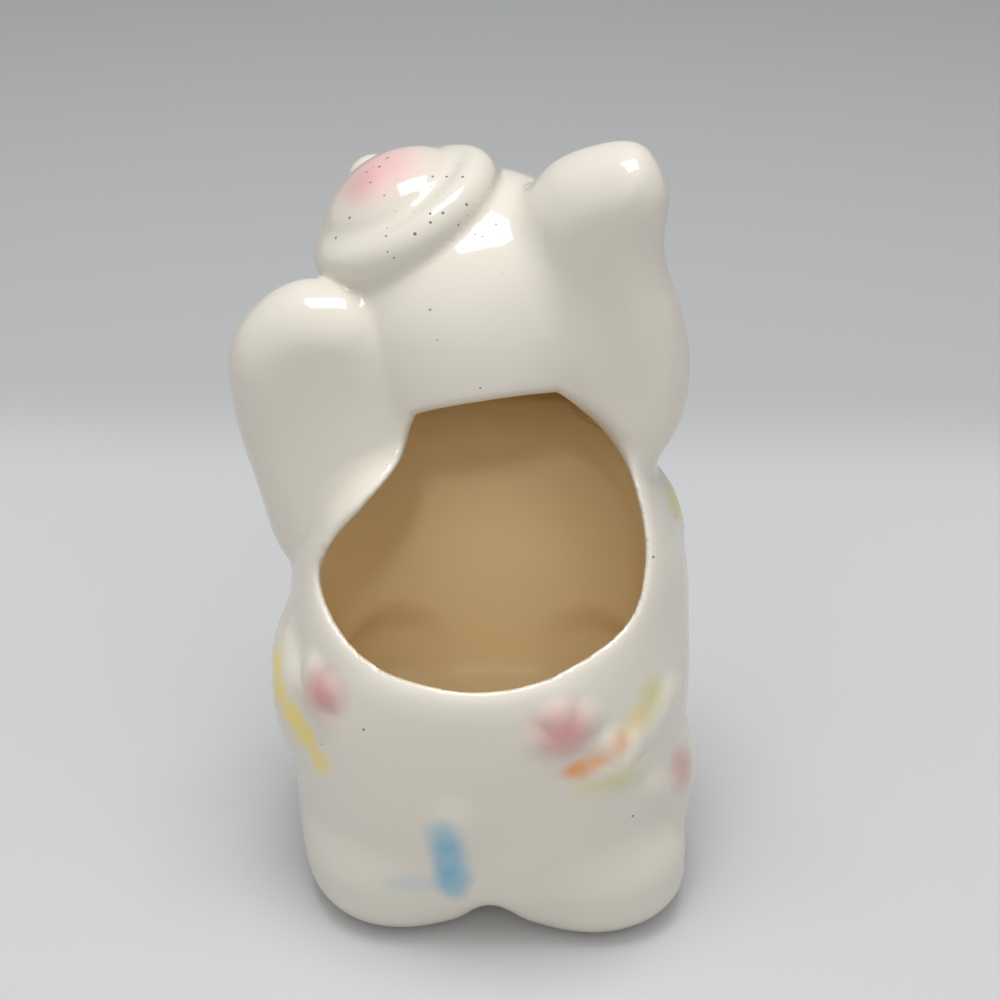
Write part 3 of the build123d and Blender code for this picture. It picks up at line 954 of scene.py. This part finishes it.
def airbrush_dab():
    """Mask of one soft dab: full at its centre, gone at its edge."""
    tree, entry, leave = new_group(
        "airbrush_dab",
        [("Place", "Vector"), ("Centre", "Vector"), ("Half Size", "Vector"), ("Softness", "Float")],
        [("Mask", "Float")],
    )
    offset = wire(tree, "ShaderNodeVectorMath", {0: entry["Place"], 1: entry["Centre"]}, operation="SUBTRACT")
    share = wire(
        tree, "ShaderNodeVectorMath", {0: offset.outputs[0], 1: entry["Half Size"]}, operation="DIVIDE"
    )
    length = wire(tree, "ShaderNodeVectorMath", {0: share.outputs[0]}, operation="LENGTH").outputs["Value"]
    edge = wire(tree, "ShaderNodeMath", {0: 1.0, 1: entry["Softness"]}, operation="SUBTRACT").outputs[0]
    mask = wire(
        tree, "ShaderNodeMapRange",
        {"Value": length, "From Min": edge, "From Max": 1.0, "To Min": 1.0, "To Max": 0.0},
        interpolation_type="SMOOTHSTEP",
    )
    tree.links.new(mask.outputs[0], leave["Mask"])
    return tree


group_place = measured_place()
group_dab = airbrush_dab()
print("groups:", group_place.name, group_dab.name)

# %% Brushed colours
BRUSH_WOBBLE = 1.2
BRUSH_GRAIN = 0.14
BRUSH_DETAIL = 3.0
NOISE_MIDDLE = (0.5, 0.5, 0.5)
STEADY_PAINTS = ("black", "white", "brown")


def brushed_colours(dab):
    """The white clay with every dab of paint on it, its edges a little unsteady."""
    tree, entry, leave = new_group("brushed_colours", [("Place", "Vector")], [("Color", "Color")])
    noise = {"Vector": entry["Place"], "Scale": BRUSH_GRAIN, "Detail": BRUSH_DETAIL}
    grain = wire(tree, "ShaderNodeTexNoise", noise).outputs["Color"]
    centred = wire(tree, "ShaderNodeVectorMath", {0: grain, 1: NOISE_MIDDLE}, operation="SUBTRACT").outputs[0]
    shaken = wire(
        tree, "ShaderNodeVectorMath",
        {0: centred, 1: (2 * BRUSH_WOBBLE,) * 3, 2: entry["Place"]}, operation="MULTIPLY_ADD",
    ).outputs[0]
    colour = paint("white")
    for centre, size, name, strength, softness in all_dabs:
        place = entry["Place"] if name in STEADY_PAINTS else shaken
        mask = use_group(tree, dab, place=place, centre=centre, half_size=size, softness=softness)
        weight = wire(tree, "ShaderNodeMath", {0: mask, 1: strength}, operation="MULTIPLY").outputs[0]
        colour = mixed(tree, weight, colour, paint(name))
    tree.links.new(colour, leave["Color"])
    return tree


group_colours = brushed_colours(group_dab)
print("nodes that lay the paint:", len(group_colours.nodes))

# %% [markdown]
# ## Specks and lining
# Iron in the clay bleeds through a white glaze as fine dark points. They could be set out one by one, but a
# cell pattern gives each its place and size at once, and a soft ball decides where they crowd. The inside
# isn't painted and shows the warm clay under the gloss; high up under the head it is darkened with painted
# shade, for the head's shadow.

# %% Iron specks
SPECK_GRAIN = 0.7
SPECK_SIZE = 0.26
SPECK_CROWD = {"centre": (12.0, -4.0, 148.0), "half_size": (26.0, 22.0, 20.0), "softness": 0.7}
SPECK_RARE, SPECK_THICK = 0.01, 0.5


def iron_specks(dab):
    """Mask of the fine dark specks, thick on the hat and the back of the head and rare elsewhere."""
    tree, entry, leave = new_group("iron_specks", [("Place", "Vector")], [("Mask", "Float")])
    cells = wire(tree, "ShaderNodeTexVoronoi", {"Vector": entry["Place"], "Scale": SPECK_GRAIN})
    crowd = use_group(tree, dab, place=entry["Place"], **SPECK_CROWD)
    density = {"Value": crowd, "To Min": SPECK_RARE, "To Max": SPECK_THICK}
    share = wire(tree, "ShaderNodeMapRange", density).outputs[0]
    chance = wire(tree, "ShaderNodeSeparateColor", {0: cells.outputs["Color"]}).outputs
    chosen = wire(tree, "ShaderNodeMath", {0: chance[0], 1: share}, operation="LESS_THAN").outputs[0]
    size = wire(tree, "ShaderNodeMath", {0: chance[1], 1: SPECK_SIZE}, operation="MULTIPLY").outputs[0]
    distance = cells.outputs["Distance"]
    inside = wire(tree, "ShaderNodeMath", {0: distance, 1: size}, operation="LESS_THAN").outputs[0]
    mask = wire(tree, "ShaderNodeMath", {0: chosen, 1: inside}, operation="MULTIPLY").outputs[0]
    tree.links.new(mask, leave["Mask"])
    return tree


group_specks = iron_specks(group_dab)
print("speck size limit, in cells:", SPECK_SIZE)

# %% Tan lining
SHADE_STARTS, SHADE_FULL = 74.0, 96.0


def lining_tan():
    """Tan of the unpainted lining, with painted shade darkening it high up under the head."""
    tree, entry, leave = new_group("lining_tan", [("Place", "Vector")], [("Color", "Color")])
    height = wire(tree, "ShaderNodeSeparateXYZ", {0: entry["Place"]}).outputs["Z"]
    # Painted shade: the tan turns darker high up, where the head overhangs the inside.
    shade = wire(
        tree, "ShaderNodeMapRange", {"Value": height, "From Min": SHADE_STARTS, "From Max": SHADE_FULL},
        interpolation_type="SMOOTHSTEP",
    ).outputs[0]
    tree.links.new(mixed(tree, shade, paint("tan"), paint("shade_tan")), leave["Color"])
    return tree


group_lining = lining_tan()
print("shader groups:", [group.name for group in bpy.data.node_groups])

# %% Glaze materials
LINING_STARTS, LINING_FULL = -1.9, -3.3
SOLE_HEIGHT = 0.35
BODY_ROUGHNESS, BODY_SPECULAR, GLAZE_ROUGHNESS = 0.5, 0.2, 0.07


def glaze_material(name):
    """Painted clay under a clear gloss; the lining is tan and the soles are bare."""
    material = bpy.data.materials.new(name)
    material.use_nodes = True
    tree = material.node_tree
    shader = tree.nodes["Principled BSDF"]
    place = use_group(tree, group_place)
    specks = use_group(tree, group_specks, place=place)
    colour = mixed(tree, specks, use_group(tree, group_colours, place=place), paint("iron"))
    depth = wire(tree, "ShaderNodeAttribute", {}, attribute_name="clay_depth").outputs["Fac"]
    lining = wire(
        tree, "ShaderNodeMapRange", {"Value": depth, "From Min": LINING_STARTS, "From Max": LINING_FULL},
        interpolation_type="SMOOTHSTEP",
    ).outputs[0]
    colour = mixed(tree, lining, colour, use_group(tree, group_lining, place=place))
    height = wire(tree, "ShaderNodeSeparateXYZ", {0: place}).outputs["Z"]
    sole = wire(tree, "ShaderNodeMath", {0: height, 1: SOLE_HEIGHT}, operation="LESS_THAN").outputs[0]
    tree.links.new(mixed(tree, sole, colour, paint("bisque")), shader.inputs["Base Color"])
    gloss = wire(tree, "ShaderNodeMath", {0: 1.0, 1: sole}, operation="SUBTRACT").outputs[0]
    tree.links.new(gloss, shader.inputs["Coat Weight"])
    shader.inputs["Roughness"].default_value = BODY_ROUGHNESS
    shader.inputs["Specular IOR Level"].default_value = BODY_SPECULAR
    shader.inputs["Coat Roughness"].default_value = GLAZE_ROUGHNESS
    return material


slots = {part["node"]: part["material_slot"] for part in frame["record"]["subparts"]}
glazes = {slot: glaze_material(slot) for slot in sorted(set(slots.values()))}
for name, piece in pieces.items():
    piece.data.materials.append(glazes[slots[name]])
print("glazes:", list(glazes))

# %% [markdown]
# ## Table, light and camera
# The planter stands on a wide sheet of pale paper. The backdrop behind it gets less light than its table, so
# the sheet has a second, darker tone of painted shade further off, with a soft edge; nothing stands in the
# way when the planter is looked at from the front. Broad lamps above and behind the camera give the even
# light.

# %% Floor
FLOOR_HALF = 6.0
# The second tone is painted shade: darker where the backdrop gets less light.
NEAR_TONE, FAR_SHADE_TONE = (0.60, 0.605, 0.61, 1), (0.485, 0.492, 0.50, 1)
TONE_STARTS, TONE_FULL = -0.135, -0.205
PAPER_ROUGHNESS, PAPER_SPECULAR = 0.7, 0.2


def lay_floor():
    """One flat sheet, its colour changing softly from the near tone to a darker tone of painted shade further
    off.
    """
    mesh = bpy.data.meshes.new("pale_floor")
    corners = [(-1, -1), (1, -1), (1, 1), (-1, 1)]
    mesh.from_pydata([(x * FLOOR_HALF, y * FLOOR_HALF, 0) for x, y in corners], [], [range(len(corners))])
    paper = bpy.data.materials.new("pale_paper")
    paper.use_nodes = True
    tree = paper.node_tree
    spot = wire(tree, "ShaderNodeTexCoord", {}).outputs["Object"]
    depth = wire(tree, "ShaderNodeSeparateXYZ", {0: spot}).outputs["Y"]
    # Painted shade: the sheet darkens softly further off, where the backdrop would get less light.
    far = wire(
        tree, "ShaderNodeMapRange", {"Value": depth, "From Min": TONE_STARTS, "From Max": TONE_FULL},
        interpolation_type="SMOOTHSTEP",
    ).outputs[0]
    shader = tree.nodes["Principled BSDF"]
    tree.links.new(mixed(tree, far, NEAR_TONE, FAR_SHADE_TONE), shader.inputs["Base Color"])
    shader.inputs["Roughness"].default_value = PAPER_ROUGHNESS
    shader.inputs["Specular IOR Level"].default_value = PAPER_SPECULAR
    mesh.materials.append(paper)
    floor = bpy.data.objects.new("pale_floor", mesh)
    bpy.context.scene.collection.objects.link(floor)


lay_floor()
print("floor side, m:", 2 * FLOOR_HALF)

# %% Light
SOFTBOXES = {
    "ceiling_lamp": ((0.02, -0.06, 1.05), (0, 0, 0.08), (0.5, 0.4), 5.0),
    "ceiling_panel": ((0, 0.15, 1.10), (0, 0.05, 0.08), (2.6, 1.0), 6.5),
    "fill_lamp": ((-0.05, 1.15, 0.85), (0, 0.02, 0.08), (2.0, 1.0), 5.4),
}
MOUTH_LAMP_PLACE, MOUTH_LAMP_AIM = (-0.0045, 0.48, 0.50), (-0.0045, 0.015, 0.072)
MOUTH_WATTS, MOUTH_BEAM, MOUTH_LAMP_RADIUS = 5.0, 8.0, 0.03
ROOM_COLOUR = (0.97, 0.98, 1.0, 1)
ROOM_LEVEL, BACKDROP_LEVEL = 0.27, 0.5


def hang_lamp(lamp, place, aim):
    """Put a lamp in its place and turn it to its aim; only the ceiling lamp shows in the gloss."""
    box = bpy.data.objects.new(lamp.name, lamp)
    box.location = place
    box.rotation_euler = (Vector(aim) - Vector(place)).to_track_quat("-Z", "Y").to_euler()
    box.visible_camera = False
    box.visible_glossy = lamp.name == "ceiling_lamp"
    bpy.context.scene.collection.objects.link(box)


def softbox(name, place, aim, size, watts):
    lamp = bpy.data.lights.new(name, "AREA")
    lamp.shape = "RECTANGLE"
    lamp.size, lamp.size_y = size
    lamp.energy = watts
    hang_lamp(lamp, place, aim)


def mouth_spot():
    """A soft narrow beam from above the camera, so that the inside of the pot isn't lost in the dark."""
    lamp = bpy.data.lights.new("mouth_lamp", "SPOT")
    lamp.energy = MOUTH_WATTS
    lamp.spot_size = math.radians(MOUTH_BEAM)
    lamp.spot_blend = 1.0
    lamp.shadow_soft_size = MOUTH_LAMP_RADIUS
    hang_lamp(lamp, MOUTH_LAMP_PLACE, MOUTH_LAMP_AIM)


def light_room():
    """Even light from all round, with a paler backdrop for the camera and the reflections."""
    world = bpy.data.worlds.new("white_room")
    world.use_nodes = True
    tree = world.node_tree
    room = tree.nodes["Background"]
    room.inputs["Color"].default_value = ROOM_COLOUR
    rays = wire(tree, "ShaderNodeLightPath", {}).outputs
    seen = rays["Is Camera Ray"]
    for kind in ("Is Glossy Ray", "Is Transmission Ray"):
        seen = wire(tree, "ShaderNodeMath", {0: seen, 1: rays[kind]}, operation="MAXIMUM").outputs[0]
    levels = {"Value": seen, "To Min": ROOM_LEVEL, "To Max": BACKDROP_LEVEL}
    tree.links.new(wire(tree, "ShaderNodeMapRange", levels).outputs[0], room.inputs["Strength"])
    bpy.context.scene.world = world


for name, (place, aim, size, watts) in SOFTBOXES.items():
    softbox(name, place, aim, size, watts)
mouth_spot()
light_room()
bpy.context.scene.view_settings.view_transform = "Standard"
print("lamps:", [*SOFTBOXES, "mouth_lamp"])

# %% Camera
CAMERA_DISTANCE = 400.0
CAMERA_ELEVATION, CAMERA_AZIMUTH = 31.0, 2.0
CAMERA_TARGET = np.array([0.0, 0.0, 84.0])
CAMERA_FIELD = 30.0
CAMERA_SHIFT = 0.01


def place_camera():
    elevation, azimuth = math.radians(CAMERA_ELEVATION), math.radians(CAMERA_AZIMUTH)
    level = math.cos(elevation)
    back = np.array([-math.sin(azimuth) * level, math.cos(azimuth) * level, math.sin(elevation)])
    lens = bpy.data.cameras.new("photo_camera")
    lens.angle = math.radians(CAMERA_FIELD)
    lens.shift_x = CAMERA_SHIFT
    camera = bpy.data.objects.new("photo_camera", lens)
    camera.location = Vector(to_frame(CAMERA_TARGET + CAMERA_DISTANCE * back))
    camera.rotation_euler = Vector(-back).to_track_quat("-Z", "Y").to_euler()
    bpy.context.scene.collection.objects.link(camera)
    bpy.context.scene.camera = camera


place_camera()
print("camera height, m:", round(bpy.context.scene.camera.location.z, 3))
